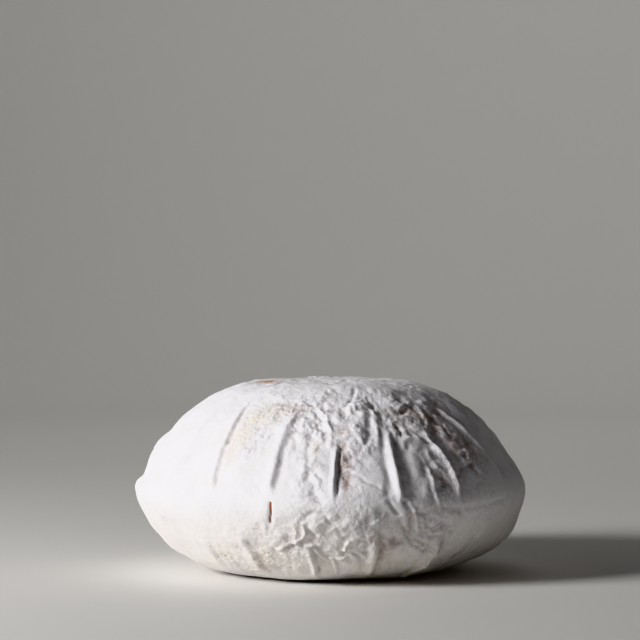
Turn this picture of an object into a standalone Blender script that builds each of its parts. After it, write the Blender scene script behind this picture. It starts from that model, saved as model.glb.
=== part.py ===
"""A whole cheese wheel in a white mould rind, about 196 mm across and 96 mm high.

The curd was pressed in a gathered cloth. The body is a dome over a shallower belly, and the two
meet at an edge round the middle, the rim, which is worn round except where it was pinched. The
gathers left pleats all round in the rind: each is a raised ridge with a sharp groove on its right
and a low pocket behind the groove. They run down the dome to the rim and down the belly to the flat
foot. The cheese is one solid in metres, +Z up, with the origin at the middle of the foot and the
front at -Y. Azimuths are in degrees from the front, counted towards +X.
"""

import random
from collections import namedtuple

import bpy
import numpy as np
from mathutils import noise

MM = 0.001

# The plain body: a dome and a belly with power curves, and a foot pressed flat by the weight
RIM_RADIUS = 99.0 * MM
RIM_HEIGHT = 41.0 * MM
DOME_RISE = 55.0 * MM
DOME_POWER = 3.4
BELLY_POWER = 5.2
FOOT_FLAT = 0.6 * MM
FOOT_RADIUS = RIM_RADIUS * (FOOT_FLAT / (RIM_HEIGHT + FOOT_FLAT)) ** (1.0 / BELLY_POWER)

# The rim is worn round: its outline is averaged over a length, less and less away from the rim
WEAR = 6.0 * MM
WEAR_REACH = 22.0 * MM
OUTLINE_STEP = 0.25 * MM

# On the left the rim was pinched to a lip with a hollow above it
PINCH_AZIMUTH = -90.0
PINCH_SPREAD = 20.0
PINCH_KEEP = 0.25
WAIST_DEPTH = 2.5 * MM
WAIST_RISE = 8.4 * MM
WAIST_BELOW = 3.8 * MM
WAIST_ABOVE = 9.1 * MM

# The smooth cap is a little full at its shoulder, where the pleats begin
SHOULDER_RADIUS = 46.0 * MM
SHOULDER_WIDTH = 15.0 * MM
SHOULDER_RISE = 1.1 * MM

# A pleat's groove as (height in mm, azimuth) points, and the depths in mm of its groove, ridge and
# pocket
Pleat = namedtuple("Pleat", "path groove ridge pocket")
DOME_FRONT = [
    Pleat([(82, -50.5), (60, -52.5), (46, -54.0)], 0.5, 0.4, 0.2),
    Pleat([(81, -32.3), (72, -33.2), (63, -34.6), (46, -35.4)], 1.2, 0.6, 0.4),
    Pleat([(81, -13.2), (71, -15.7), (61, -15.8), (47, -16.6)], 1.8, 1.5, 0.6),
    Pleat([(78, 1.7), (70, 2.2), (56, 2.1), (45, 1.9)], 2.2, 1.5, 0.9),
    Pleat([(74, 22.3), (67, 22.0), (58, 21.4), (43, 21.5)], 2.3, 2.3, 1.7),
    Pleat([(71, 37.0), (66, 39.3), (58, 40.6), (50, 40.8), (41, 39.3)], 1.3, 2.1, 1.0),
    Pleat([(85, 50.5), (79, 55.0), (75, 56.5), (66, 59.0), (50, 61.5)], 1.1, 1.6, 0.9),
]
BELLY_FRONT = [
    Pleat([(26, -60.0), (8, -59.0)], 0.5, 0.4, 0.2),
    Pleat([(26, -40.8), (17, -41.3), (8, -42.5)], 0.9, 0.8, 0.5),
    Pleat([(21, -26.3), (14, -25.0), (4, -23.4)], 1.4, 1.2, 0.8),
    Pleat([(23, -6.5), (16, -4.7), (11, -4.0), (3, -3.1)], 1.9, 1.6, 1.1),
    Pleat([(28, 13.4), (19, 15.0), (12, 15.8), (3, 17.2)], 1.6, 2.0, 1.5),
    Pleat([(27, 34.6), (17, 36.2), (8, 34.8), (3, 34.0)], 1.4, 1.7, 0.9),
    Pleat([(25, 55.0), (8, 54.0)], 0.7, 0.8, 0.4),
]
PLEAT_COUNT = 19
PLEAT_SEED = 7
PLACE_JITTER = 0.14
DEPTH_RANGE = (0.75, 1.15)

# The cross section that all pleats share
GROOVE_WIDTH = 2.2 * MM
RIDGE_OFFSET = 3.6 * MM
RIDGE_WIDTH = 2.8 * MM
POCKET_OFFSET = 5.0 * MM
POCKET_WIDTH = 7.0 * MM
PLEAT_FADE = 4.0 * MM

# The body is a little lumpy. The large lumps and dents that show are placed one by one: height in
# mm, azimuth, and rise, width across and length along the outline in mm
LUMP_SIZE = 30.0 * MM
LUMP_HEIGHT = 1.1 * MM
DIMPLE_SIZE = 12.0 * MM
DIMPLE_HEIGHT = 0.5 * MM
Lump = namedtuple("Lump", "height azimuth rise wide tall")
LUMPS = [
    Lump(20, 85.0, 3.4, 32.0, 12.0),
    Lump(82, 11.0, 1.3, 5.0, 9.0),
    Lump(89, -5.5, 1.0, 7.0, 5.0),
    Lump(91, 7.0, 1.1, 6.0, 5.0),
    Lump(13, 8.0, 1.6, 8.0, 8.0),
    Lump(56, 30.0, -0.9, 9.0, 13.0),
]

# The mesh: rows from pole to pole, and columns that follow every ridge, groove and pocket
CAP_WAY = 62.0 * MM
CAP_ROWS = 8
DOME_ROWS = 13
BELLY_ROWS = 13
FOOT_ROWS = 3
COLUMNS_PER_PLEAT = 7
COLUMNS = PLEAT_COUNT * COLUMNS_PER_PLEAT
RIDGE_TURN = 2.6
POCKET_TURN = 3.0
RIM_BLEND = 9.0 * MM
WELD = 0.01 * MM


def smooth_step(low, high, value):
    """0 below low, 1 above high, and an easy curve between."""
    share = np.clip((value - low) / (high - low), 0.0, 1.0)
    return share * share * (3.0 - 2.0 * share)


def bell(distance, width):
    """1 in the middle and falling to nothing over about twice the width."""
    return np.exp(-((distance / width) ** 2))


def turn_between(azimuth, middle):
    """Degrees from one azimuth to another by the short way round."""
    return (azimuth - middle + 180.0) % 360.0 - 180.0


def sharp_outline():
    """Way, radius and height from the middle of the foot over the rim, at way 0, to the top."""
    radii = np.linspace(0.0, RIM_RADIUS, 2000)
    share = radii / RIM_RADIUS
    belly = np.maximum((RIM_HEIGHT + FOOT_FLAT) * share**BELLY_POWER - FOOT_FLAT, 0.0)
    dome = RIM_HEIGHT + DOME_RISE * (1.0 - share**DOME_POWER)
    radius = np.concatenate([radii, radii[-2::-1]])
    height = np.concatenate([belly, dome[-2::-1]])
    way = np.concatenate([[0.0], np.cumsum(np.hypot(np.diff(radius), np.diff(height)))])
    way -= way[len(radii) - 1]
    even = np.append(np.arange(way[0], way[-1], OUTLINE_STEP), way[-1])
    return even, np.interp(even, way, radius), np.interp(even, way, height)


def worn(way, values):
    """An outline's radii or heights, averaged along the way near the rim."""
    offsets = np.arange(-4 * WEAR, 4 * WEAR + OUTLINE_STEP / 2, OUTLINE_STEP)
    kernel = np.exp(-(offsets**2) / (2 * WEAR**2))
    average = np.convolve(np.pad(values, len(kernel) // 2, mode="edge"), kernel / kernel.sum(), "valid")
    return values + (average - values) * bell(way, WEAR_REACH)


WAY, SHARP_RADIUS, SHARP_HEIGHT = sharp_outline()
WORN_RADIUS, WORN_HEIGHT = worn(WAY, SHARP_RADIUS), worn(WAY, SHARP_HEIGHT)


def row_ways():
    """Way of each row along the outline, from the middle of the foot to the top."""
    foot = WAY[np.argmax(SHARP_RADIUS > FOOT_RADIUS)]
    cap = WAY[-1] - CAP_WAY
    foot_rows = np.linspace(WAY[0], foot, FOOT_ROWS + 1)[:-1]
    belly_rows = np.linspace(foot, 0.0, BELLY_ROWS + 1)[:-1]
    dome_rows = np.linspace(0.0, cap, DOME_ROWS + 1)[:-1]
    cap_rows = np.linspace(cap, WAY[-1], CAP_ROWS + 1)
    return np.concatenate([foot_rows, belly_rows, dome_rows, cap_rows])


def middle_of(pleat):
    """Azimuth halfway between the ends of a pleat."""
    return (pleat.path[0][1] + pleat.path[-1][1]) / 2


def all_pleats(front, draw):
    """The pleats of the front, and others like them spread evenly round the back."""
    first, last = middle_of(front[0]), middle_of(front[-1])
    hidden = PLEAT_COUNT - len(front)
    pitch = (first + 360.0 - last) / (hidden + 1)
    pleats = list(front)
    for number in range(1, hidden + 1):
        model = draw.choice(front[1:])
        depth = draw.uniform(*DEPTH_RANGE)
        turn = last + pitch * (number + draw.uniform(-PLACE_JITTER, PLACE_JITTER)) - middle_of(model)
        path = [(at, angle + turn) for at, angle in model.path]
        pleats.append(Pleat(path, model.groove * depth, model.ridge * depth, model.pocket * depth))
    return pleats


def azimuth_at(pleat, height):
    """Azimuth of a pleat's groove at a height."""
    steps = sorted(pleat.path)
    return np.interp(height, [step[0] * MM for step in steps], [step[1] for step in steps])


def pleat_relief(pleats, azimuth, radius, height):
    """How far the pleats raise the surface."""
    relief = np.zeros_like(radius)
    for pleat in pleats:
        bottom, top = min(pleat.path)[0] * MM, max(pleat.path)[0] * MM
        across = np.radians(turn_between(azimuth, azimuth_at(pleat, height))) * radius
        fade = smooth_step(bottom - PLEAT_FADE, bottom + PLEAT_FADE, height)
        fade = fade * (1.0 - smooth_step(top - PLEAT_FADE, top + PLEAT_FADE, height))
        groove = pleat.groove * bell(across, GROOVE_WIDTH)
        ridge = pleat.ridge * bell(across + RIDGE_OFFSET, RIDGE_WIDTH)
        pocket = pleat.pocket * bell(across - POCKET_OFFSET, POCKET_WIDTH)
        relief += fade * MM * (ridge - groove - pocket)
    return relief


def rim_and_shoulder_relief(pinch, way, radius, height):
    """The hollow above the pinched lip, and the full shoulder of the cap."""
    above = height - RIM_HEIGHT - WAIST_RISE
    waist = WAIST_DEPTH * pinch * bell(above, np.where(above < 0, WAIST_BELOW, WAIST_ABOVE))
    return np.where(way > 0, SHOULDER_RISE * bell(radius - SHOULDER_RADIUS, SHOULDER_WIDTH), 0.0) - waist


def lump_relief(points, azimuth, way, radius):
    """Broad lumps and smaller dimples from smooth noise, and the lumps that are placed."""
    lumps = [LUMP_HEIGHT * noise.noise(place) for place in (points / LUMP_SIZE).tolist()]
    dimples = [DIMPLE_HEIGHT * noise.noise(place) for place in (points / DIMPLE_SIZE).tolist()]
    relief = np.array(lumps) + np.array(dimples)
    for lump in LUMPS:
        beside = np.radians(turn_between(azimuth, lump.azimuth)) * radius / (lump.wide * MM)
        above = (way - np.interp(lump.height * MM, WORN_HEIGHT, WAY)) / (lump.tall * MM)
        relief += lump.rise * MM * bell(np.hypot(beside, above), 1.0)
    return relief


def column_azimuths(dome_pleats, belly_pleats, height):
    """Azimuths of one row's columns, which cross at the rim from the dome's pleats to the belly's."""
    share = smooth_step(-RIM_BLEND, RIM_BLEND, height - RIM_HEIGHT)
    step = 1.0 / COLUMNS_PER_PLEAT
    numbers, azimuths = [], []
    for number in range(PLEAT_COUNT + 1):
        dome_line = azimuth_at(dome_pleats[number % PLEAT_COUNT], height)
        belly_line = azimuth_at(belly_pleats[number % PLEAT_COUNT], height)
        line = share * dome_line + (1.0 - share) * belly_line + 360.0 * (number // PLEAT_COUNT)
        numbers += [number - step, number, number + step]
        azimuths += [line - RIDGE_TURN, line, line + POCKET_TURN]
    return np.interp(np.arange(COLUMNS) * step, numbers, azimuths)


def turned_body(radii, heights):
    """The plain body as one closed mesh: the outline turned once round by a Screw modifier."""
    mesh = bpy.data.meshes.new("cheese_wheel_outline")
    edges = [(number, number + 1) for number in range(len(radii) - 1)]
    mesh.from_pydata([(r, 0.0, z) for r, z in zip(radii, heights)], edges, [])
    guide = bpy.data.objects.new("cheese_wheel_outline", mesh)
    bpy.context.scene.collection.objects.link(guide)
    screw = guide.modifiers.new("turn", "SCREW")
    screw.steps = COLUMNS
    screw.render_steps = COLUMNS
    screw.use_merge_vertices = True
    screw.merge_threshold = WELD
    screw.use_normal_flip = True
    graph = bpy.context.evaluated_depsgraph_get()
    body = bpy.data.meshes.new_from_object(guide.evaluated_get(graph))
    bpy.data.objects.remove(guide)
    return body


def row_and_column(points, radii, heights):
    """The row and the column that each point of the turned body lies on."""
    reach = np.hypot(points[:, 0], points[:, 1])
    miss = np.abs(reach[:, None] - radii) + np.abs(points[:, 2][:, None] - heights)
    turn = np.arctan2(points[:, 1], points[:, 0]) / (2.0 * np.pi)
    return np.argmin(miss, axis=1), np.round(turn * COLUMNS).astype(int) % COLUMNS


def shape(body, ways, radii, heights):
    """Moves the points of the turned body to the pleats, the lip and the lumps."""
    draw = random.Random(PLEAT_SEED)
    dome_pleats = all_pleats(DOME_FRONT, draw)
    belly_pleats = all_pleats(BELLY_FRONT, draw)
    table = np.array([column_azimuths(dome_pleats, belly_pleats, height) for height in heights])

    points = np.empty(len(body.vertices) * 3, np.float32)
    body.vertices.foreach_get("co", points)
    row, column = row_and_column(points.reshape(-1, 3), radii, heights)
    way, azimuth = ways[row], table[row, column]
    pinch = bell(turn_between(azimuth, PINCH_AZIMUTH), PINCH_SPREAD)

    def on_outline(worn_values, sharp_values):
        """A value of the outline at each point, sharper where the rim is pinched."""
        worn_here, sharp_here = np.interp(way, WAY, worn_values), np.interp(way, WAY, sharp_values)
        return worn_here + PINCH_KEEP * pinch * (sharp_here - worn_here)

    radius, height = on_outline(WORN_RADIUS, SHARP_RADIUS), on_outline(WORN_HEIGHT, SHARP_HEIGHT)
    outward = on_outline(np.gradient(WORN_HEIGHT, WAY), np.gradient(SHARP_HEIGHT, WAY))
    upward = -on_outline(np.gradient(WORN_RADIUS, WAY), np.gradient(SHARP_RADIUS, WAY))
    length = np.hypot(outward, upward)
    side, back = np.sin(np.radians(azimuth)), -np.cos(np.radians(azimuth))

    relief = pleat_relief(dome_pleats + belly_pleats, azimuth, radius, height)
    relief += rim_and_shoulder_relief(pinch, way, radius, height)
    relief += lump_relief(np.column_stack([radius * side, radius * back, height]), azimuth, way, radius)
    relief *= np.where(way > 0, 1.0, smooth_step(FOOT_RADIUS, FOOT_RADIUS + 2 * PLEAT_FADE, radius))
    reach = radius + relief * outward / length
    moved = np.column_stack([reach * side, reach * back, height + relief * upward / length])
    moved[:, :2] -= (moved.max(axis=0) + moved.min(axis=0))[:2] / 2
    moved[:, 2] = np.maximum(moved[:, 2], 0.0) * (RIM_HEIGHT + DOME_RISE) / moved[:, 2].max()
    body.vertices.foreach_set("co", moved.astype(np.float32).ravel())
    body.update()


def rind():
    """The white mould rind."""
    material = bpy.data.materials.new("rind")
    material.use_nodes = True
    surface = material.node_tree.nodes["Principled BSDF"]
    surface.inputs["Base Color"].default_value = (0.84, 0.84, 0.85, 1.0)
    surface.inputs["Roughness"].default_value = 0.85
    surface.inputs["Metallic"].default_value = 0.0
    return material


def main():
    for old in list(bpy.data.objects):
        bpy.data.objects.remove(old)
    collection = bpy.data.collections.new("cheese_wheel")
    bpy.context.scene.collection.children.link(collection)
    ways = row_ways()
    radii, heights = np.interp(ways, WAY, WORN_RADIUS), np.interp(ways, WAY, WORN_HEIGHT)
    radii[[0, -1]] = 0.0
    body = turned_body(radii, heights)
    body.name = "cheese_wheel"
    shape(body, ways, radii, heights)
    body.shade_smooth()
    body.materials.append(rind())
    collection.objects.link(bpy.data.objects.new("cheese_wheel", body))


main()
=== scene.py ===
# %% [markdown]
# # A cheese wheel in a white mould rind
#
# This notebook dresses one soft cheese, just under 20 cm wide. The curd was tied up in a cloth and
# pressed while it drained, so the wheel is a dome on a shallower belly, and the gathers of the cloth
# are printed in it as pleats. Later a white mould grew over all of it, thick and velvety where nobody
# touched it and thin on the edges that were rubbed.
#
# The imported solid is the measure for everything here. It is loaded first and its box is kept, so that
# the dressed cheese can be compared with it at the end.

# %% Load the solid that this cheese is fitted to
import math
import random
from collections import namedtuple

import bmesh
import bpy
import numpy as np
from mathutils import Matrix, Vector, noise


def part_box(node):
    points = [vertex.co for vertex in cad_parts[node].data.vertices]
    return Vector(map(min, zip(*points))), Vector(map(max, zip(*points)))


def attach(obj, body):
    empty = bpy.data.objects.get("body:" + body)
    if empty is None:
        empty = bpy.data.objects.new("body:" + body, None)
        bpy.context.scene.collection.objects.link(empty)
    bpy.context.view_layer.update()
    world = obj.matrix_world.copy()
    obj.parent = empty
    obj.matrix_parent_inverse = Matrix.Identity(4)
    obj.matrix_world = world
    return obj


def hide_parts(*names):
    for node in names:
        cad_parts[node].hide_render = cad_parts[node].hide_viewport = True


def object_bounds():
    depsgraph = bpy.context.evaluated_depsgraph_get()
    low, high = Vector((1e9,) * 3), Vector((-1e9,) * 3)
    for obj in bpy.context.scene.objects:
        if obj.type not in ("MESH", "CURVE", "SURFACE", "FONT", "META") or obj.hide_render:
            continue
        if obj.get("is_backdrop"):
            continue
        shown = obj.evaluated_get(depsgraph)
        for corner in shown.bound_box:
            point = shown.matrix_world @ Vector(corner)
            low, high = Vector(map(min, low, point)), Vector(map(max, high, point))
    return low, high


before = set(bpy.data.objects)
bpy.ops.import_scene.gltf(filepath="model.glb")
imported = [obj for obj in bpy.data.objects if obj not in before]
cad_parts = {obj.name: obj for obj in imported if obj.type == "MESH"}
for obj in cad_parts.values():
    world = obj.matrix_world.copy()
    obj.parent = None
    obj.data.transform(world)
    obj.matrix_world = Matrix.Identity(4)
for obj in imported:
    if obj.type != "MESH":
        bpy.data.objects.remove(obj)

MM = 0.001
CAD_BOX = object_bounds()
LOW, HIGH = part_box("cheese_wheel")
print("solid: %.1f x %.1f x %.1f mm" % tuple((HIGH - LOW) / MM))

# %% [markdown]
# ## The outline of the body
#
# On the real wheel the cloth hangs from its gathers, so the top is a dome that steepens towards the
# edge, and the weight of the curd pushes the belly out and its foot flat. Both halves are power
# curves: the radius is raised to a power, low for a round dome and high for a full belly.
#
# Where the two curves meet, they make a sharp corner, the rim. Handling has worn it round, and the way
# to wear a corner in numbers is to average the outline along its own length. Both outlines are kept,
# because on the left the rim was pinched and stayed sharper. A place on the body is then given by its
# way along the outline from the rim, up over the dome or down over the belly, and by its azimuth,
# counted in degrees from the front towards the right.

# %% Work out the sharp and the worn outline
RIM_RADIUS = 99.0 * MM
RIM_HEIGHT = 41.0 * MM
DOME_RISE = HIGH.z - RIM_HEIGHT
DOME_POWER = 3.4
BELLY_POWER = 5.2
FOOT_FLAT = 0.6 * MM
FOOT_RADIUS = RIM_RADIUS * (FOOT_FLAT / (RIM_HEIGHT + FOOT_FLAT)) ** (1.0 / BELLY_POWER)
WEAR = 6.0 * MM
WEAR_REACH = 22.0 * MM
OUTLINE_STEP = 0.25 * MM


def bell(distance, width):
    """1 in the middle and falling to nothing over about twice the width."""
    return np.exp(-((distance / width) ** 2))


def sharp_outline():
    """Way, radius and height from the middle of the foot over the rim to the top."""
    radii = np.linspace(0.0, RIM_RADIUS, 2000)
    share = radii / RIM_RADIUS
    belly = np.maximum((RIM_HEIGHT + FOOT_FLAT) * share**BELLY_POWER - FOOT_FLAT, 0.0)
    dome = RIM_HEIGHT + DOME_RISE * (1.0 - share**DOME_POWER)
    radius = np.concatenate([radii, radii[-2::-1]])
    height = np.concatenate([belly, dome[-2::-1]])
    way = np.concatenate([[0.0], np.cumsum(np.hypot(np.diff(radius), np.diff(height)))])
    way -= way[len(radii) - 1]
    even = np.append(np.arange(way[0], way[-1], OUTLINE_STEP), way[-1])
    return even, np.interp(even, way, radius), np.interp(even, way, height)


def worn(way, values):
    """An outline's radii or heights, averaged along the way near the rim."""
    offsets = np.arange(-4 * WEAR, 4 * WEAR + OUTLINE_STEP / 2, OUTLINE_STEP)
    kernel = np.exp(-(offsets**2) / (2 * WEAR**2))
    average = np.convolve(np.pad(values, len(kernel) // 2, mode="edge"), kernel / kernel.sum(), "valid")
    return values + (average - values) * bell(way, WEAR_REACH)


WAY, SHARP_RADIUS, SHARP_HEIGHT = sharp_outline()
WORN_RADIUS, WORN_HEIGHT = worn(WAY, SHARP_RADIUS), worn(WAY, SHARP_HEIGHT)
print("outline: %.0f mm of dome, %.0f mm of belly and foot" % (WAY[-1] / MM, -WAY[0] / MM))
print("worn rim %.1f mm across, foot %.0f mm" % (2 * WORN_RADIUS.max() / MM, 2 * FOOT_RADIUS / MM))

# %% [markdown]
# ## A body of even faces
#
# The body could be spun from its outline, but a spun mesh has long thin faces at the rim and slivers
# at the top, and a turned look wherever the light grazes it. A cube that is cut into a fine grid and
# blown up to a ball has faces of nearly one size and no pole, and it can be pressed into any round
# form. The ball is pushed a little towards the front first, so that the side that is looked at most
# gets the finest faces.

# %% Blow a cube up to a ball
CUTS = 127
FRONT_PULL = 0.24

ball = bmesh.new()
bmesh.ops.create_cube(ball, size=2.0)
bmesh.ops.subdivide_edges(ball, edges=ball.edges[:], cuts=CUTS, use_grid_fill=True)
for vert in ball.verts:
    # The tangent keeps the grid even when the faces of the cube become parts of the ball
    spread = Vector(math.tan(part * math.pi / 4) for part in vert.co)
    vert.co = (spread.normalized() + Vector((0.0, -FRONT_PULL, 0.0))).normalized()
print(len(ball.verts), "points and", 2 * len(ball.faces), "triangles")

# %% Read where each point of the ball belongs on the body
PINCH_AZIMUTH = -90.0
PINCH_SPREAD = 20.0
PINCH_KEEP = 0.25


def turn_between(angle, middle):
    """Degrees from one azimuth to another by the short way round."""
    return (angle - middle + 180.0) % 360.0 - 180.0


direction = np.array([vert.co[:] for vert in ball.verts])
azimuth = np.degrees(np.arctan2(direction[:, 0], -direction[:, 1]))
latitude = np.degrees(np.arcsin(np.clip(direction[:, 2], -1.0, 1.0))) / 90.0
way = np.where(latitude > 0.0, latitude * WAY[-1], -latitude * WAY[0])
pinch = bell(turn_between(azimuth, PINCH_AZIMUTH), PINCH_SPREAD)


def on_outline(worn_values, sharp_values):
    """A value of the outline at each point, sharper where the rim is pinched."""
    worn_here, sharp_here = np.interp(way, WAY, worn_values), np.interp(way, WAY, sharp_values)
    return worn_here + PINCH_KEEP * pinch * (sharp_here - worn_here)


radius = on_outline(WORN_RADIUS, SHARP_RADIUS)
height = on_outline(WORN_HEIGHT, SHARP_HEIGHT)
outward = on_outline(np.gradient(WORN_HEIGHT, WAY), np.gradient(SHARP_HEIGHT, WAY))
upward = -on_outline(np.gradient(WORN_RADIUS, WAY), np.gradient(SHARP_RADIUS, WAY))
outward, upward = outward / np.hypot(outward, upward), upward / np.hypot(outward, upward)
side, back = np.sin(np.radians(azimuth)), -np.cos(np.radians(azimuth))
plain = np.column_stack([radius * side, radius * back, height])

# %% [markdown]
# ## Pleats
#
# Every gather of the cloth left the same print: a raised ridge, a groove on its right where the cloth
# was folded under, and a low pocket behind the groove. The groove drops steeply from the ridge and
# rises easily to the pocket. One cross section therefore serves for all. A pleat only says where its
# groove runs, as heights in mm and azimuths, how many mm its parts rise or sink, and how wide it is
# against that section. The back isn't seen from the front, so it repeats pleats of the front at the
# same spacing, a little shallower, and with their lower ends kept off the foot.
#
# Relief is a height above the plain body for each point. Heights can simply be added, so ridges,
# dents, lumps and wrinkles are worked out one after the other, and the points are moved once at the
# end. A sculptor's brush works the same way, and each step stays easy to change.

# %% Helpers for relief
CLOUD_INCREMENT = 0.9
CLOUD_RATIO = 2.0


def smooth_step(low, high, value):
    """0 below low, 1 above high, and an easy curve between."""
    share = np.clip((value - low) / (high - low), 0.0, 1.0)
    return share * share * (3.0 - 2.0 * share)


def cloud(size, shift=0.0, octaves=1):
    """Smooth noise over the body with features of a size, between about -1 and 1."""
    places = (plain / size + shift).tolist()
    if octaves == 1:
        return np.array([noise.noise(place) for place in places])
    return np.array([noise.fractal(place, CLOUD_INCREMENT, CLOUD_RATIO, octaves) for place in places])


# %% The pleats that face the camera, and the rule for the others
Pleat = namedtuple("Pleat", "path groove ridge pocket size")
DOME_FRONT = [
    Pleat([(82, -50.5), (60, -52.5), (46, -54.0)], 0.2, 0.2, 0.2, 1.2),
    Pleat([(82, -37.0), (71, -36.1), (57, -35.7), (48, -34.4)], 1.0, 0.7, 0.4, 0.8),
    Pleat([(79, -12.4), (72, -14.0), (66, -14.8), (56, -14.9), (47, -15.4)], 0.5, 1.1, 0.4, 1.35),
    Pleat([(66, 2.9), (59, 1.9), (45, 1.5)], 1.1, 1.1, 0.6, 0.65),
    Pleat([(70, 21.2), (60, 20.3), (53, 20.3), (43, 20.6)], 1.2, 2.0, 0.9, 0.95),
    Pleat([(71, 36.2), (64, 37.8), (56, 39.0), (48, 39.4), (43, 39.0)], 0.7, 1.6, 0.8, 0.75),
    Pleat([(85, 51.6), (82, 54.4), (73, 56.2), (64, 58.4), (53, 60.8)], 0.5, 1.3, 0.7, 0.75),
]
BELLY_FRONT = [
    Pleat([(26, -60.0), (8, -59.0)], 0.2, 0.2, 0.2, 1.2),
    Pleat([(23, -40.9), (17, -40.6), (8, -42.0)], 0.3, 0.6, 0.5, 1.5),
    Pleat([(21, -26.0), (15, -24.2), (6, -23.4)], 0.5, 0.9, 0.6, 1.5),
    Pleat([(18, -5.6), (16, -5.0), (11, -4.6), (5, -4.2)], 1.5, 1.3, 0.6, 0.8),
    Pleat([(28, 14.4), (21, 15.4), (14, 16.4), (5, 17.8)], 1.4, 2.0, 1.0, 1.4),
    Pleat([(27, 35.6), (17, 37.0), (8, 36.4)], 1.2, 1.7, 1.0, 1.1),
    Pleat([(25, 55.0), (8, 54.0)], 0.4, 0.6, 0.4, 1.2),
]
PLEAT_COUNT = 19
PLEAT_SEED = 7
PLACE_JITTER = 0.14
DOME_DEPTHS = (0.65, 1.05)
BELLY_DEPTHS = (0.45, 0.75)
HIDDEN_LOWEST = 10

draw = random.Random(PLEAT_SEED)


def middle_of(pleat):
    """Azimuth halfway between the ends of a pleat."""
    return (pleat.path[0][1] + pleat.path[-1][1]) / 2


def all_pleats(front, depths):
    """The pleats of the front, and others like them spread evenly round the back."""
    first, last = middle_of(front[0]), middle_of(front[-1])
    hidden = PLEAT_COUNT - len(front)
    pitch = (first + 360.0 - last) / (hidden + 1)
    pleats = list(front)
    for number in range(1, hidden + 1):
        model = draw.choice(front[1:])
        depth = draw.uniform(*depths)
        turn = last + pitch * (number + draw.uniform(-PLACE_JITTER, PLACE_JITTER)) - middle_of(model)
        path = [(max(at, HIDDEN_LOWEST), angle + turn) for at, angle in model.path]
        parts = [part * depth for part in (model.groove, model.ridge, model.pocket)]
        pleats.append(Pleat(path, *parts, model.size))
    return pleats


dome_pleats = all_pleats(DOME_FRONT, DOME_DEPTHS)
belly_pleats = all_pleats(BELLY_FRONT, BELLY_DEPTHS)
print(len(dome_pleats), "pleats on the dome and", len(belly_pleats), "on the belly")

# %% Press the pleats in
GROOVE_STEEP = 0.9 * MM
GROOVE_EASY = 1.5 * MM
RIDGE_OFFSET = 2.3 * MM
RIDGE_EASY = 1.9 * MM
RIDGE_STEEP = 1.3 * MM
POCKET_OFFSET = 5.0 * MM
POCKET_WIDTH = 6.0 * MM
FADE_BELOW = 4.0 * MM
FADE_ABOVE = 6.5 * MM
GROOVE_TIP = 0.4
CREASE_FULL = 1.6 * MM
WANDER_BROAD, WANDER_BROAD_SIZE = 0.7 * MM, 14.0 * MM
WANDER_FINE, WANDER_FINE_SIZE = 0.3 * MM, 3.0 * MM
UNEVEN_SHARE, UNEVEN_SIZE = 0.6, 9.0 * MM
UNEVEN_RANGE = (0.3, 1.5)

# The grooves wander a little, and no pleat is equally deep all along
wander = WANDER_BROAD * cloud(WANDER_BROAD_SIZE, 3.7, 2) + WANDER_FINE * cloud(WANDER_FINE_SIZE, 5.2, 2)
uneven = np.clip(1.0 + UNEVEN_SHARE * cloud(UNEVEN_SIZE, 9.1, 2), *UNEVEN_RANGE)


def azimuth_at(pleat, heights):
    """Azimuth of a pleat's groove at the given heights."""
    steps = sorted(pleat.path)
    return np.interp(heights, [step[0] * MM for step in steps], [step[1] for step in steps])


relief = np.zeros(len(plain))
# The depth of the grooves is kept as a mask; the rind is darkened with it, partly a real rub and partly
# painted shade in the grooves
groove_rub_and_shade = np.zeros(len(plain))
for pleat in dome_pleats + belly_pleats:
    bottom, top = min(pleat.path)[0] * MM, max(pleat.path)[0] * MM
    across = np.radians(turn_between(azimuth, azimuth_at(pleat, height))) * radius + wander
    across = across / pleat.size
    fade = smooth_step(bottom - FADE_BELOW, bottom + FADE_BELOW, height)
    fade = fade * (1.0 - smooth_step(top - FADE_ABOVE, top + FADE_ABOVE, height))
    taper = GROOVE_TIP + (1.0 - GROOVE_TIP) * fade
    groove_width = np.where(across < 0.0, GROOVE_STEEP, GROOVE_EASY) * taper
    ridge_width = np.where(across < -RIDGE_OFFSET, RIDGE_EASY, RIDGE_STEEP)
    ridge = fade * pleat.ridge * MM * bell(across + RIDGE_OFFSET, ridge_width)
    groove = fade * pleat.groove * MM * uneven * bell(across, groove_width)
    pocket = fade * pleat.pocket * MM * bell(across - POCKET_OFFSET, POCKET_WIDTH)
    relief += ridge - groove - pocket
    groove_rub_and_shade = np.maximum(groove_rub_and_shade, groove / CREASE_FULL)
print("pleats from %.1f to %.1f mm" % (relief.min() / MM, relief.max() / MM))

# %% [markdown]
# ## Rim, shoulder and lumps
#
# On the left the rim was pinched to a lip with a hollow above it. The cap is fuller at its shoulder
# than a power curve would be, the belly sags on the right, and the whole cheese is a little uneven,
# because soft curd never fills a cloth evenly. Broad noise makes that unevenness, and the lumps and
# dents that show in front are set one by one.

# %% Shape the pinched rim and the shoulder
WAIST_DEPTH = 2.5 * MM
WAIST_RISE = 8.4 * MM
WAIST_BELOW = 3.8 * MM
WAIST_ABOVE = 9.1 * MM
SHOULDER_RADIUS = 46.0 * MM
SHOULDER_WIDTH = 15.0 * MM
SHOULDER_RISE = 1.1 * MM

above = height - RIM_HEIGHT - WAIST_RISE
relief -= WAIST_DEPTH * pinch * bell(above, np.where(above < 0, WAIST_BELOW, WAIST_ABOVE))
relief += np.where(way > 0, SHOULDER_RISE * bell(radius - SHOULDER_RADIUS, SHOULDER_WIDTH), 0.0)

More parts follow.
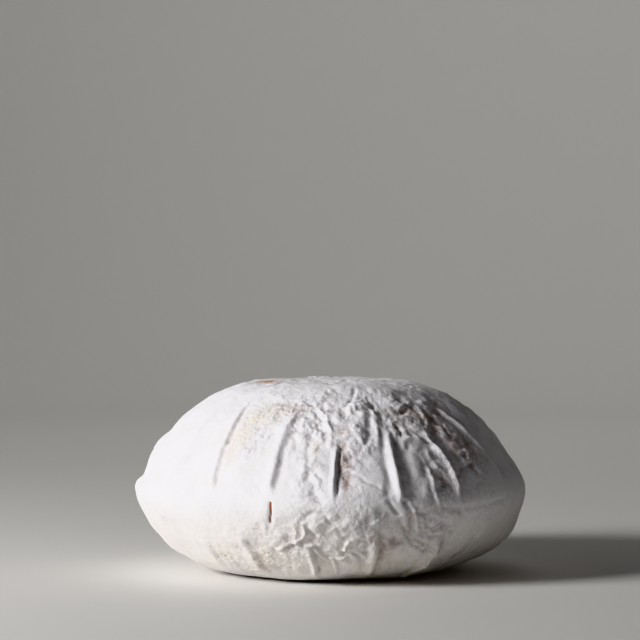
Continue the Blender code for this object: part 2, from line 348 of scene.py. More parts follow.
# %% Add lumps and dents
LUMP_SIZE = 30.0 * MM
LUMP_HEIGHT = 1.1 * MM
DIMPLE_SIZE = 12.0 * MM
DIMPLE_HEIGHT = 0.5 * MM
Lump = namedtuple("Lump", "height azimuth rise wide tall")
LUMPS = [
    Lump(20, 85.0, 3.4, 32.0, 12.0),
    Lump(70, -88.0, -1.3, 16.0, 5.0),
    Lump(82, 12.0, 1.4, 5.0, 7.0),
    Lump(72, 9.5, 0.8, 5.0, 7.0),
    Lump(89, -5.5, 0.9, 7.0, 5.0),
    Lump(91, 7.0, 1.1, 6.0, 5.0),
    Lump(89, 26.0, 0.8, 8.0, 4.0),
    Lump(81, 31.0, -0.9, 1.8, 2.0),
    Lump(71, 29.3, -0.8, 1.8, 2.0),
    Lump(74, 40.3, -1.1, 3.5, 4.5),
    Lump(67, 41.5, -0.7, 2.0, 3.0),
    Lump(58, 25.5, 1.1, 3.6, 11.0),
    Lump(51, 33.5, -1.0, 3.6, 5.0),
    Lump(60, 10.0, -0.6, 2.4, 1.5),
    Lump(54, 16.6, -0.9, 1.9, 9.0),
    Lump(46, 15.4, -0.8, 1.6, 3.0),
    Lump(13, 8.0, 1.2, 6.0, 7.0),
    Lump(19, 20.8, 1.0, 4.5, 5.0),
    Lump(31, -3.9, 1.1, 3.4, 4.0),
    Lump(24, -5.6, -1.4, 2.0, 3.4),
    Lump(21, 3.3, -0.9, 1.6, 3.4),
    Lump(37, 13.3, -0.8, 2.0, 2.2),
]


def spot(height_mm, angle, wide_mm, tall_mm):
    """1 at a place on the skin and falling to nothing over its width and its length."""
    beside = np.radians(turn_between(azimuth, angle)) * radius / (wide_mm * MM)
    along = (way - np.interp(height_mm * MM, WORN_HEIGHT, WAY)) / (tall_mm * MM)
    return bell(np.hypot(beside, along), 1.0)


relief += LUMP_HEIGHT * cloud(LUMP_SIZE) + DIMPLE_HEIGHT * cloud(DIMPLE_SIZE)
for lump in LUMPS:
    relief += lump.rise * MM * spot(lump.height, lump.azimuth, lump.wide, lump.tall)

# %% [markdown]
# ## Folds in the skin
#
# Besides the pleats, thin folds cross the front, where the skin buckled over the softer curd. They run
# in any direction, so they can't be given by one azimuth for each height. Each is a short line through
# a few places, and a point's distance to it is the distance to the nearest piece of that line,
# measured on the skin. A positive rise is a raised fold and a negative one a crease. Skin that rises
# in a fold is missing beside it, so each fold has a shallow trench on both sides, and each crease a
# faint rim. A little noise shifts the points that are measured, because no fold is straight.

# %% Lay the folds
TRENCH_SHARE = 0.4
RIM_SHARE = 0.15
BESIDE_OFFSET = 2.6
BESIDE_WIDTH = 1.5
JOG = 0.6 * MM
JOG_SIZE = 4.0 * MM
Fold = namedtuple("Fold", "path rise width")
DOME_FOLDS = [
    Fold([(79, -1.6), (72, 0.2), (67, -0.1)], 0.7, 1.0),
    Fold([(54, -6.6), (47, -5.0), (43, -3.0)], -0.6, 2.0),
    Fold([(68, -6.8), (65, -7.2), (60, -6.6)], -0.5, 1.2),
    Fold([(58, -6.5), (55, -4.6), (52, -2.3)], -0.5, 0.9),
    Fold([(82, -14.7), (83, -12.2), (83, -8.2), (81, -4.7), (78, -1.4)], -0.5, 0.9),
    Fold([(90, 12.5), (87, 10.3), (85, 8.0), (83, 5.1)], -0.7, 0.9),
    Fold([(87, 16.9), (85, 18.2), (81, 18.4)], -0.7, 0.9),
    Fold([(79, 14.6), (73, 13.2), (68, 12.4)], -0.35, 1.6),
    Fold([(81, 17.2), (75, 16.7), (71, 16.0), (67, 15.6)], 0.6, 1.2),
    Fold([(68, 11.2), (66, 12.3), (63, 12.8)], -0.5, 1.0),
    Fold([(56, 5.5), (51, 9.6), (48, 13.6)], -0.5, 0.7),
    Fold([(76, 24.4), (74, 25.2), (72, 24.8)], -1.0, 0.9),
    Fold([(83, 29.2), (84, 33.3), (85, 37.0)], 0.4, 1.0),
    Fold([(83, 36.6), (80, 37.7)], -0.7, 0.9),
    Fold([(84, 39.8), (81, 39.6), (77, 39.3), (74, 37.4), (71, 35.4)], 0.5, 1.0),
    Fold([(85, 43.0), (85, 48.0)], 0.5, 1.0),
    Fold([(66, 24.0), (69, 24.9), (70, 28.0), (69, 31.5)], 0.8, 1.0),
    Fold([(64, 32.3), (60, 32.6), (57, 33.3)], 0.4, 0.9),
    Fold([(56, 30.0), (52, 30.2), (47, 30.0), (43, 30.3), (38, 31.3)], 0.9, 0.8),
    Fold([(62, 44.7), (63, 48.6), (59, 47.4), (57, 44.4), (62, 44.7)], 0.5, 0.8),
]
BELLY_FOLDS = [
    Fold([(18, -16.7), (20, -14.5), (22, -11.8), (23, -9.7), (25, -8.1), (28, -7.3), (32, -7.5)], 0.8, 0.65),
    Fold([(21, -7.7), (21, -5.7), (19, -4.2), (16, -3.1), (14, -1.3), (15, 0.3)], 0.8, 0.65),
    Fold([(15, 0.3), (15, 2.8), (16, 4.6)], 0.7, 0.65),
    Fold([(14, 1.0), (11, 1.7), (6, 2.3)], 0.8, 0.7),
    Fold([(31, -7.2), (28, -5.7), (26, -4.6)], -0.9, 0.8),
    Fold([(29, 2.2), (26, 3.1), (24, 5.5)], -0.8, 0.75),
    Fold([(24, 5.5), (22, 4.7), (19, 4.2)], 0.5, 0.65),
    Fold([(35, -6.8), (37, -4.8), (36.5, -2.0), (32, 0.2)], -0.7, 1.0),
    Fold([(18, 4.3), (18, 7.0), (16, 9.4), (13, 10.6), (8, 10.8)], -0.9, 0.9),
    Fold([(23, 13.8), (20, 16.7)], -0.7, 0.75),
    Fold([(32, 11.6), (34, 14.0), (36, 14.8)], 0.5, 0.7),
    Fold([(42, 15.8), (39, 17.2), (36, 18.5)], -1.1, 0.75),
    Fold([(42, 20.1), (39, 21.3), (34, 22.5), (29, 23.8), (24, 24.0), (23, 26.6), (21, 29.8)], -1.4, 0.8),
    Fold([(32, 20.0), (28, 21.8), (24, 23.4), (20, 26.6), (18, 29.6)], -1.2, 0.8),
    Fold([(37, 23.4), (33, 24.1), (28, 25.9)], 0.9, 1.1),
    Fold([(34, 25.9), (29, 27.6), (26, 30.6)], 0.9, 1.1),
    Fold([(27, 28.8), (24, 31.4), (25, 34.2)], -1.0, 0.8),
    Fold([(22, 34.0), (18, 34.5), (12, 34.6), (8, 34.1), (3, 33.9)], 1.1, 1.2),
    Fold([(25, 37.8), (19, 38.7), (13, 38.3)], 0.8, 0.8),
    Fold([(21, 32.0), (17, 32.1), (14, 31.6)], -0.9, 0.8),
    Fold([(38, 31.0), (37, 40.0), (38, 50.0), (40, 58.0)], -0.4, 1.5),
]


def distance_to(path, sway=0.0):
    """Distance on the skin from each point to a line through (height in mm, azimuth) places."""
    nearest = np.full(len(plain), np.inf)
    places = [(np.interp(at * MM, WORN_HEIGHT, WAY), angle) for at, angle in path]
    for (way_a, angle_a), (way_b, angle_b) in zip(places, places[1:]):
        girth = np.interp((way_a + way_b) / 2, WAY, WORN_RADIUS) * math.pi / 180.0
        run = np.array([(angle_b - angle_a) * girth, way_b - way_a])
        here = np.column_stack([turn_between(azimuth, angle_a) * girth + sway, way - way_a + sway])
        share = np.clip(here @ run / (run @ run), 0.0, 1.0)
        nearest = np.minimum(nearest, np.hypot(*(here - share[:, None] * run).T))
    return nearest


jog = JOG * cloud(JOG_SIZE, 33.0, 2)
for fold in DOME_FOLDS + BELLY_FOLDS:
    off = distance_to(fold.path, jog)
    width = fold.width * MM
    share = TRENCH_SHARE if fold.rise > 0 else RIM_SHARE
    beside = share * bell(off - BESIDE_OFFSET * width, BESIDE_WIDTH * width)
    relief += fold.rise * MM * uneven * (bell(off, width) - beside)
print(len(DOME_FOLDS) + len(BELLY_FOLDS), "folds and creases")

# %% [markdown]
# ## The split in the rind
#
# One short split stands upright below a pleat, where the rind dried and tore. It is the only place
# where the inside shows through, dark and reddish, so it gets a mask of its own for the colour.

# %% Open the split
SPLIT_PATH = [(41.5, -16.5), (37, -16.5), (32, -17.2)]
SPLIT_DEPTH = 0.9 * MM
SPLIT_WIDTH = 0.7 * MM

from_split = distance_to(SPLIT_PATH)
relief -= SPLIT_DEPTH * bell(from_split, SPLIT_WIDTH)
print("split: %.0f mm long" % (SPLIT_PATH[0][0] - SPLIT_PATH[-1][0]))

# %% [markdown]
# ## Crumpled skin
#
# As the cheese dried, its skin shrank and crumpled. It is crumpled round the edge of the cap, in and
# beside the pleats and low on the belly, less on the top, and nearly smooth on the tight left flank.
# The back is given the same, so the crumpled areas of the front are laid down twice more, turned round.
#
# A ridged fractal gives crumples: it is noise folded over at zero, so its crests are sharp and its
# valleys are round. That is right for the belly. The dome is puffed up between sharp creases, so the
# same noise is turned over there. The places it is read at are bent by other noise first, because
# straight noise shows its grid. The valleys are kept as a mask, and the rind is darkened in them,
# partly as rubbed mould and partly as painted shade.

# %% Mark the crumpled areas
Area = namedtuple("Area", "height azimuth amount wide tall")
AREAS = [
    Area(85, 6.0, 0.7, 36.0, 9.0),
    Area(77, 40.0, 0.7, 26.0, 12.0),
    Area(72, -24.0, 0.5, 11.0, 11.0),
    Area(75, -6.0, 0.7, 15.0, 10.0),
    Area(60, 5.0, 0.7, 5.0, 16.0),
    Area(55, -7.0, 0.5, 9.0, 12.0),
    Area(70, 13.0, 0.4, 12.0, 10.0),
    Area(52, 34.0, 0.5, 14.0, 14.0),
    Area(60, 47.0, 0.6, 14.0, 14.0),
    Area(24, -2.0, 0.5, 34.0, 15.0),
    Area(33, 9.0, 0.4, 8.0, 9.0),
    Area(28, 26.0, 0.7, 20.0, 13.0),
    Area(12, 38.0, 0.6, 18.0, 12.0),
    Area(14, -28.0, 0.4, 18.0, 12.0),
]
BACK_TURNS = (0.0, 110.0, 195.0)
SLACK_LEAST = 0.12
SLACK_TOP = 0.25
SLACK_RANGE = (0.06, 1.1)
TOP_START = 62.0 * MM
TOP_FULL = 84.0 * MM
TOP_PATCHES, TOP_PATCH_SIZE = 1.2, 18.0 * MM
PATCHES, PATCH_SIZE = 0.8, 11.0 * MM

on_top = smooth_step(TOP_START, TOP_FULL, way)
slack = SLACK_LEAST + SLACK_TOP * on_top * (1.0 + TOP_PATCHES * cloud(TOP_PATCH_SIZE, 80.0))
for turn in BACK_TURNS:
    for area in AREAS:
        slack += area.amount * spot(area.height, area.azimuth + turn, area.wide, area.tall)
slack = np.clip(slack * (1.0 + PATCHES * cloud(PATCH_SIZE, 21.0, 2)), *SLACK_RANGE)
print("crumpled: %.0f%% of the skin" % (100 * (slack > 0.5).mean()))

# %% Crumple the skin
STRETCH = (1.0, 1.0, 0.7)
BEND_SIZE = 8.0 * MM
BEND_WAY = 2.2 * MM
LARGE_SIZE = 8.0 * MM
LARGE_HEIGHT = 0.34 * MM
SMALL_SIZE = 3.4 * MM
SMALL_HEIGHT = 0.16 * MM
FINE_SIZE = 2.2 * MM
FINE_HEIGHT = 0.08 * MM
VALLEY_FULL = 0.5 * MM
TURN_OVER = 8.0 * MM
CRUMPLE_INCREMENT = 1.0
CRUMPLE_RATIO = 2.1
CRUMPLE_OFFSET = 0.9
CRUMPLE_GAIN = 2.0

bend = np.column_stack([cloud(BEND_SIZE, shift) for shift in (40.0, 50.0, 60.0)])
bent = (plain + BEND_WAY * bend) * STRETCH


def crumple(size, octaves):
    """Sharp crests and round valleys of a size, in spreads about their average."""
    places = (bent / size).tolist()
    numbers = (CRUMPLE_INCREMENT, CRUMPLE_RATIO, octaves, CRUMPLE_OFFSET, CRUMPLE_GAIN)
    heights = [noise.ridged_multi_fractal(place, *numbers) for place in places]
    return (np.array(heights) - np.mean(heights)) / np.std(heights)


# 1 on the belly and -1 on the dome, where the crests become creases
turned_over = 1.0 - 2.0 * smooth_step(-TURN_OVER, TURN_OVER, way)
crumples = LARGE_HEIGHT * crumple(LARGE_SIZE, 3) + SMALL_HEIGHT * crumple(SMALL_SIZE, 2)
crumples = crumples * turned_over
relief += slack * crumples + FINE_HEIGHT * cloud(FINE_SIZE, 70.0, 2)
# Partly painted shade: this mask darkens the rind in the crumple valleys
valley_rub_and_shade = np.clip(-slack * crumples / VALLEY_FULL, 0.0, 1.0)
print("crumples: up to %.1f mm" % (np.abs(slack * crumples).max() / MM))

# %% [markdown]
# ## From heights to a mesh
#
# Now every point moves by its relief along the normal of the plain body. The foot stays flat, since
# the cheese stands on it. Last, the whole is brought to the box of the solid, which changes it by less
# than a millimetre.

# %% Move the points and make the cheese
FOOT_FADE = 24.0 * MM

relief *= np.where(way > 0, 1.0, smooth_step(FOOT_RADIUS, FOOT_RADIUS + FOOT_FADE, radius))
reach = radius + relief * outward
skin = np.column_stack([reach * side, reach * back, np.maximum(height + relief * upward, 0.0)])
low, high = skin.min(axis=0), skin.max(axis=0)
skin = np.array(LOW) + (skin - low) * (np.array(HIGH - LOW) / (high - low))
print("brought from %.1f x %.1f x %.1f mm to the box of the solid" % tuple((high - low) / MM))
for vert, place in zip(ball.verts, skin):
    vert.co = place
bmesh.ops.recalc_face_normals(ball, faces=ball.faces[:])

mesh = bpy.data.meshes.new("cheese")
ball.to_mesh(mesh)
ball.free()
mesh.shade_smooth()
cheese = bpy.data.objects.new("cheese", mesh)
bpy.context.scene.collection.objects.link(cheese)
print("cheese:", len(mesh.polygons), "faces")

# %% [markdown]
# ## Stains
#
# The mould was rubbed off on a few edges and in a few hollows, and moisture turned the curd brown
# there. Between two pleats on the left the mould is thin and granular, and the cream curd shows. One
# spot at the edge of the cap is rusty. Like the crumples, these belong to places, so they are worked
# out per point and kept in the mesh as attributes, which the material reads by name. The brown and
# the bare areas are repeated at the back, weaker. The narrow strips and the rust are there only once.
# The narrow strips lie on the shaded side of a pleat's groove, so their brown is partly painted shade.

# %% Mark the stains
# Strips on the shaded side of a pleat's groove: partly rubbed brown, partly painted shade
STRIPS_RUBBED_AND_SHADED = [
    Area(52, 4.3, 1.5, 2.4, 9.0),
    Area(60, 4.3, 1.2, 3.0, 5.0),
    Area(72, 4.0, 1.0, 3.5, 6.0),
    Area(83, -12.5, 0.6, 3.0, 1.6),
]
BROWN = [
    Area(81, 31.0, 1.0, 3.5, 3.0),
    Area(80, 37.5, 1.0, 4.0, 3.5),
    Area(76, 42.0, 1.3, 7.0, 6.5),
    Area(66, 45.0, 1.0, 6.0, 8.0),
    Area(51, 33.5, 0.6, 4.0, 5.0),
    Area(62, 51.0, 0.5, 4.0, 8.0),
    Area(90, 38.0, 0.8, 14.0, 3.0),
    Area(24, -5.6, 0.5, 2.5, 3.5),
    Area(16, 17.0, 0.6, 4.0, 8.0),
    Area(28, 24.5, 0.5, 4.0, 7.0),
]
BARE = [
    Area(72, -31.0, 1.0, 5.0, 9.0),
    Area(79, -27.0, 1.0, 10.0, 4.0),
    Area(83, -20.0, 0.8, 9.0, 4.0),
    Area(66, -5.0, 0.8, 2.5, 4.0),
    Area(30, -10.0, 0.7, 3.0, 3.0),
    Area(12, 0.0, 0.35, 70.0, 12.0),
    Area(6, 22.0, 0.5, 30.0, 8.0),
    Area(15, -39.0, 0.8, 4.0, 7.0),
    Area(13, -23.5, 0.8, 4.5, 7.0),
    Area(62, -33.5, 0.8, 3.0, 7.0),
    Area(14, 35.0, 0.4, 4.0, 9.0),
]
RUST = [Area(94.4, -64.8, 1.5, 6.0, 4.5), Area(94.0, -50.0, 0.7, 8.0, 3.0)]
BACK_SHARE = 0.55


def marks(areas, turns):
    """All areas of a stain together, in full in front and weaker where they are turned to the back."""
    total = np.zeros(len(plain))
    for area in areas:
        for turn in turns:
            amount = area.amount * (BACK_SHARE if turn else 1.0)
            total += amount * spot(area.height, area.azimuth + turn, area.wide, area.tall)
    return total


masks = {
    "groove_rub_and_shade": groove_rub_and_shade,
    "valley_rub_and_shade": valley_rub_and_shade,
    "slack": slack,
    "brown": marks(STRIPS_RUBBED_AND_SHADED, BACK_TURNS[:1]) + marks(BROWN, BACK_TURNS),
    "bare": marks(BARE, BACK_TURNS),
    "rust": marks(RUST, BACK_TURNS[:1]),
    "split": from_split / MM,
}
for name, values in masks.items():
    mesh.attributes.new(name, "FLOAT", "POINT").data.foreach_set("value", values.astype(np.float32))
print("masks:", ", ".join(masks))

# %% [markdown]
# ## Rind
#
# The mould is a dry white velvet. It scatters light softly, so it has a little sheen and hardly any
# shine. Its colour is never one white: it is cooler and greyer where it is thin, cream where the curd
# shows through, and a rubbed pinkish brown in the grooves and hollows, where it is also painted shade.
# The lower part is tinted warmer, which is painted bounce light from the floor.
#
# Each of these is the same kind of thing, a field of soft patches with its own size and colour. So the
# patches are a node group, built once and placed several times with other numbers. The marks of the
# last step only say where a colour may appear, and the patches break it up there.

# %% Helpers for nodes
def add(tree, kind, settings=(), **inputs):
    """Adds a node, sets its properties, and links or sets its inputs by name or number."""
    node = tree.nodes.new(kind)
    for name, value in dict(settings).items():
        setattr(node, name, value)
    for name, value in inputs.items():
        socket = node.inputs[int(name[1:])] if name[0] == "_" else node.inputs[name.replace("_", " ")]
        if isinstance(value, bpy.types.NodeSocket):
            tree.links.new(value, socket)
        else:
            socket.default_value = value
    return node


def new_group(name, inputs, outputs):
    """A node group with sockets given as {name: type}, and its two end nodes."""
    tree = bpy.data.node_groups.new(name, "ShaderNodeTree")
    for socket_name, kind in inputs.items():
        tree.interface.new_socket(socket_name, in_out="INPUT", socket_type="NodeSocket" + kind)
    for socket_name, kind in outputs.items():
        tree.interface.new_socket(socket_name, in_out="OUTPUT", socket_type="NodeSocket" + kind)
    return tree, tree.nodes.new("NodeGroupInput"), tree.nodes.new("NodeGroupOutput")


# %% Patches
patches, start, end = new_group(
    "patches", {"Place": "Vector", "Per Metre": "Float", "Least": "Float", "Most": "Float"}, {"Mask": "Float"}
)
field = add(
    patches, "ShaderNodeTexNoise",
    Vector=start.outputs["Place"], Scale=start.outputs["Per Metre"], Detail=5.0, Roughness=0.62,
)
edges = add(
    patches, "ShaderNodeMapRange", {"interpolation_type": "SMOOTHSTEP"},
    Value=field.outputs["Fac"], From_Min=start.outputs["Least"], From_Max=start.outputs["Most"],
)
patches.links.new(edges.outputs["Result"], end.inputs["Mask"])
print("group", patches.name)

# %% Cracks
# Thin broken lines: the borders of bent cells, kept only where a field of patches allows them
cracks, start, end = new_group(
    "cracks", {"Place": "Vector", "Per Metre": "Float", "Width": "Float"}, {"Mask": "Float"}
)
sway = add(cracks, "ShaderNodeTexNoise", Vector=start.outputs["Place"], Scale=140.0, Detail=3.0)
moved = add(
    cracks, "ShaderNodeVectorMath", {"operation": "MULTIPLY_ADD"},
    _0=sway.outputs["Color"], _1=(0.010, 0.010, 0.010), _2=start.outputs["Place"],
)
cells = add(
    cracks, "ShaderNodeTexVoronoi", {"feature": "DISTANCE_TO_EDGE"},
    Vector=moved.outputs["Vector"], Scale=start.outputs["Per Metre"],
)
line = add(
    cracks, "ShaderNodeMapRange", {"interpolation_type": "SMOOTHSTEP"},
    Value=cells.outputs["Distance"], From_Min=0.0, From_Max=start.outputs["Width"], To_Min=1.0, To_Max=0.0,
)
kept = add(
    cracks, "ShaderNodeGroup", {"node_tree": patches},
    Place=start.outputs["Place"], Per_Metre=90.0, Least=0.58, Most=0.68,
)
both = add(cracks, "ShaderNodeMath", {"operation": "MULTIPLY"}, _0=line.outputs[0], _1=kept.outputs["Mask"])
cracks.links.new(both.outputs[0], end.inputs["Mask"])
print("group", cracks.name)

# %% Colours of the rind
WHITE = (0.885, 0.873, 0.91, 1.0)
# Painted bounce light: a warm white for the lower rind, standing for warm light thrown up from the floor
PAINTED_BOUNCE_WHITE = (0.88, 0.85, 0.83, 1.0)
THIN_GREY = (0.66, 0.64, 0.71, 1.0)
CREAM = (0.80, 0.74, 0.65, 1.0)
# Rubbed pinkish brown; in the grooves, crumple valleys and strips it is also painted shade
RUBBED_BROWN_AND_SHADE = (0.44, 0.35, 0.32, 1.0)
RUSTY = (0.50, 0.24, 0.10, 1.0)
TORN_DRY = (0.20, 0.12, 0.10, 1.0)
TORN_WET = (0.36, 0.09, 0.04, 1.0)

rind = bpy.data.materials.new("rind")
rind.use_nodes = True
tree = rind.node_tree
surface = tree.nodes["Principled BSDF"]
place = add(tree, "ShaderNodeTexCoord").outputs["Object"]


def field_of(per_metre, least, most, shift=0.0):
    """One field of patches over the rind."""
    moved = add(tree, "ShaderNodeMapping", Vector=place, Location=(shift, shift, shift))
    node = add(
        tree, "ShaderNodeGroup", {"node_tree": patches},
        Place=moved.outputs["Vector"], Per_Metre=per_metre, Least=least, Most=most,
    )
    return node.outputs["Mask"]


def attribute(name):
    """A mask that was worked out per point."""
    return add(tree, "ShaderNodeAttribute", {"attribute_name": name}).outputs["Fac"]


def times(first, second):
    """Two masks or numbers multiplied."""
    settings = {"operation": "MULTIPLY", "use_clamp": True}
    return add(tree, "ShaderNodeMath", settings, _0=first, _1=second).outputs[0]


def tint(under, colour, share):
    """A colour laid over another by a mask."""
    return add(tree, "ShaderNodeMix", {"data_type": "RGBA"}, _0=share, _6=under, _7=colour).outputs[2]


# Painted bounce light: the rind is tinted warmer towards the bottom, as if lit from below by the floor
up = add(tree, "ShaderNodeSeparateXYZ", Vector=place).outputs["Z"]
painted_bounce_share = add(
    tree, "ShaderNodeMapRange", {"interpolation_type": "SMOOTHSTEP"},
    Value=up, From_Min=46.0 * MM, From_Max=20.0 * MM,
)
colour = tint(WHITE, PAINTED_BOUNCE_WHITE, painted_bounce_share.outputs["Result"])
colour = tint(colour, THIN_GREY, times(field_of(60.0, 0.46, 0.76), 0.5))
colour = tint(colour, THIN_GREY, times(field_of(300.0, 0.48, 0.72, 1.3), times(attribute("slack"), 0.9)))
colour = tint(colour, CREAM, times(field_of(70.0, 0.54, 0.76, 2.1), 0.35))
colour = tint(colour, CREAM, times(attribute("bare"), field_of(560.0, 0.36, 0.56, 3.3)))
# Partly rubbed brown, partly painted shade in the crumple valleys
colour = tint(colour, RUBBED_BROWN_AND_SHADE, times(attribute("valley_rub_and_shade"), times(field_of(110.0, 0.40, 0.62, 6.2), 0.75)))
# Partly rubbed brown, partly painted shade: the pleat grooves are darkened by their depth
colour = tint(colour, RUBBED_BROWN_AND_SHADE, times(attribute("groove_rub_and_shade"), times(field_of(160.0, 0.38, 0.62, 4.7), 0.75)))
# The brown marks: real stains, and in the strips by the grooves also painted shade
colour = tint(colour, RUBBED_BROWN_AND_SHADE, times(attribute("brown"), times(field_of(380.0, 0.36, 0.60, 5.1), 0.8)))
colour = tint(colour, RUSTY, times(attribute("rust"), field_of(260.0, 0.31, 0.57, 7.4)))
crack_node = add(tree, "ShaderNodeGroup", {"node_tree": cracks}, Place=place, Per_Metre=85.0, Width=0.030)
colour = tint(colour, RUBBED_BROWN_AND_SHADE, times(crack_node.outputs["Mask"], 0.3))
torn = add(
    tree, "ShaderNodeMapRange", {"interpolation_type": "SMOOTHSTEP"},
    Value=attribute("split"), From_Min=0.9, From_Max=0.35, To_Min=0.0, To_Max=1.0,
)
torn_colour = tint(TORN_DRY, TORN_WET, field_of(150.0, 0.45, 0.55, 8.8))
colour = tint(colour, torn_colour, torn.outputs["Result"])
tree.links.new(colour, surface.inputs["Base Color"])
print("material", rind.name)

# %% [markdown]
# ## Velvet
#
# What is too small for the mesh goes into the normals. Three sizes are enough: crumples of about three
# millimetres where the skin is slack, crumbs of about two, more of them where the mould is thin, and
# the grain of the mould itself. Cracks are cut in last.

# %% Bumps of the rind
FINISH = {"Roughness": 0.88, "Sheen Weight": 0.12, "Sheen Roughness": 0.6}


def bump(height, distance, strength=1.0, under=None):
    """Normals that are tilted by a height map, on top of other normals."""
    inputs = {"Height": height, "Distance": distance, "Strength": strength}
    if under is not None:
        inputs["Normal"] = under
    return add(tree, "ShaderNodeBump", **inputs).outputs["Normal"]


ridged = {"noise_type": "RIDGED_MULTIFRACTAL"}
small_crumples = add(tree, "ShaderNodeTexNoise", ridged, Vector=place, Scale=330.0, Detail=3.0, Roughness=0.6)
crumbs = add(tree, "ShaderNodeTexNoise", Vector=place, Scale=520.0, Detail=3.0, Roughness=0.6)
grain = add(tree, "ShaderNodeTexNoise", Vector=place, Scale=1300.0, Detail=3.0, Roughness=0.7)
normal = bump(times(small_crumples.outputs["Fac"], attribute("slack")), 0.5 * MM)
rough_places = add(
    tree, "ShaderNodeMath", {"operation": "ADD", "use_clamp": True},
    _0=times(attribute("slack"), 0.6), _1=attribute("bare"),
).outputs[0]
normal = bump(times(crumbs.outputs["Fac"], rough_places), 0.9 * MM, 0.8, normal)
normal = bump(crumbs.outputs["Fac"], 0.35 * MM, 0.7, normal)
normal = bump(grain.outputs["Fac"], 0.3 * MM, 0.6, normal)
normal = bump(crack_node.outputs["Mask"], -0.2 * MM, 1.0, normal)
tree.links.new(normal, surface.inputs["Normal"])
for name, value in FINISH.items():
    surface.inputs[name].default_value = value
mesh.materials.append(rind)
print("nodes in the rind:", len(tree.nodes))

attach(cheese, "root")
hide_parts("cheese_wheel")

# %% [markdown]
# ## Stage
#
# The floor is pale studio paper that curves up into a wall all the way round, like a shallow bowl. A
# flat sheet would show an edge behind the cheese, and a wall on one side only would change with the
# view. The bowl is one outline, spun.

# %% Floor
STAGE_RADIUS = 2.6
STAGE_CURVE = 0.9
STAGE_WALL = 2.2
CURVE_STEPS = 12
SPIN_STEPS = 96
PAPER_COLOUR = (0.78, 0.77, 0.75, 1.0)
PAPER_ROUGHNESS = 0.7

bowl = bmesh.new()
outline = [(0.0, 0.0), (STAGE_RADIUS - STAGE_CURVE, 0.0)]
for step in range(1, CURVE_STEPS + 1):
    turn = math.radians(90.0 * step / CURVE_STEPS)
    inwards, up = STAGE_CURVE * (1 - math.sin(turn)), STAGE_CURVE * (1 - math.cos(turn))
    outline.append((STAGE_RADIUS - inwards, up))
outline.append((STAGE_RADIUS, STAGE_WALL))
corners = [bowl.verts.new((x, 0.0, z)) for x, z in outline]
for one, other in zip(corners, corners[1:]):
    bowl.edges.new((one, other))
bmesh.ops.spin(
    bowl, geom=bowl.verts[:] + bowl.edges[:], cent=(0, 0, 0), axis=(0, 0, 1),
    angle=math.tau, steps=SPIN_STEPS, use_merge=True,
)
bmesh.ops.remove_doubles(bowl, verts=bowl.verts[:], dist=0.1 * MM)
bmesh.ops.recalc_face_normals(bowl, faces=bowl.faces[:])
paper_mesh = bpy.data.meshes.new("stage_paper")
bowl.to_mesh(paper_mesh)
bowl.free()
paper_mesh.shade_smooth()
floor = bpy.data.objects.new("stage_paper", paper_mesh)
bpy.context.scene.collection.objects.link(floor)

paper = bpy.data.materials.new("stage_paper")
paper.use_nodes = True
paper_surface = paper.node_tree.nodes["Principled BSDF"]
paper_surface.inputs["Base Color"].default_value = PAPER_COLOUR
paper_surface.inputs["Roughness"].default_value = PAPER_ROUGHNESS
paper_mesh.materials.append(paper)
floor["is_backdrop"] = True
print("stage: %.1f m across" % (2 * STAGE_RADIUS))

# %% [markdown]
# ## Light
#
# Relief shows when the light grazes it, so the key light is a soft box far round to the left and not
# high. A second soft box shines on the paper wall behind the cheese. The wall sends it back as a wide
# and weak light, which keeps the back and the dark side readable, and it makes a pale background.
#
# A white thing is easily burnt out. The view transform chosen here keeps the colours as they are and
# bends only the brightest tones, so the lit flank stays white without losing its form.

# %% Light
MIDDLE = Vector((0.0, 0.0, HIGH.z / 2))
KEY_TURN = math.radians(-62.0)
KEY_RISE = math.radians(21.0)
KEY_DISTANCE = 1.4
WALL_LAMP = Vector((0.0, 0.9, 1.9))
WALL_SPOT = Vector((0.0, 2.6, 0.8))
LAMP_WHITE = (1.0, 0.99, 0.98)
WORLD_COLOUR = (0.88, 0.87, 0.96, 1.0)
WORLD_STRENGTH = 0.015


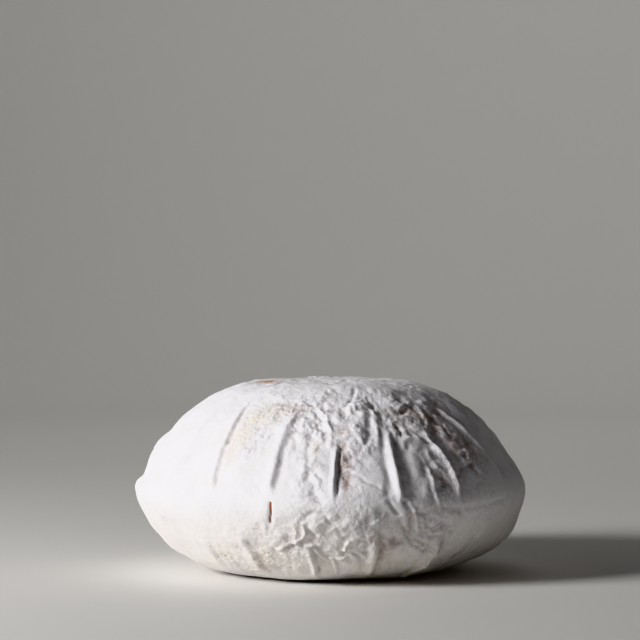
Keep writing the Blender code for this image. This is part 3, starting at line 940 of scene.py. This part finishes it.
def soft_box(name, place, target, size, watts, spread_deg):
    """A square lamp at one place that shines on another."""
    light = bpy.data.lights.new(name, "AREA")
    light.shape = "SQUARE"
    light.size = size
    light.energy = watts
    light.color = LAMP_WHITE
    light.spread = math.radians(spread_deg)
    lamp = bpy.data.objects.new(name, light)
    aim = (place - target).to_track_quat("Z", "Y").to_matrix().to_4x4()
    lamp.matrix_world = Matrix.Translation(place) @ aim
    bpy.context.scene.collection.objects.link(lamp)


level = math.cos(KEY_RISE)
key_way = Vector((math.sin(KEY_TURN) * level, -math.cos(KEY_TURN) * level, math.sin(KEY_RISE)))
key_place = MIDDLE + KEY_DISTANCE * key_way
soft_box("key_light", key_place, MIDDLE, size=0.45, watts=8.8, spread_deg=110.0)
soft_box("wall_light", WALL_LAMP, WALL_SPOT, size=1.2, watts=13.0, spread_deg=180.0)
world = bpy.data.worlds.new("studio")
world.use_nodes = True
background = world.node_tree.nodes["Background"]
background.inputs["Color"].default_value = WORLD_COLOUR
background.inputs["Strength"].default_value = WORLD_STRENGTH
bpy.context.scene.world = world
bpy.context.scene.view_settings.view_transform = "Khronos PBR Neutral"
print("lights:", ", ".join(light.name for light in bpy.data.lights))

# %% [markdown]
# ## Camera
#
# The camera stands a metre in front and a little higher than the top of the cheese. It looks level, so
# the cheese is low in the picture, and its long lens shows the round form without much perspective.

# %% Camera
CAMERA_PLACE = (-0.00505, -1.030, 0.1243)
SENSOR_WIDTH = 36.0
LENS_LENGTH = 115.9

lens = bpy.data.cameras.new("camera")
lens.sensor_width = SENSOR_WIDTH
lens.lens = LENS_LENGTH
camera = bpy.data.objects.new("camera", lens)
camera.location = CAMERA_PLACE
camera.rotation_euler = (math.radians(90.0), 0.0, 0.0)
bpy.context.scene.collection.objects.link(camera)
bpy.context.scene.camera = camera
print("camera: %.2f m away, %.0f mm lens" % (camera.location.length, lens.lens))

# %% [markdown]
# ## Size
#
# The box of the dressed cheese is written down beside the box of the solid. The skin was fitted to that
# box, so the two are the same.

# %% Compare the boxes
boxes = {"cad": CAD_BOX, "visual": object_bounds()}
boxes = {name: [[float(part) for part in corner] for corner in box] for name, box in boxes.items()}
print(boxes)
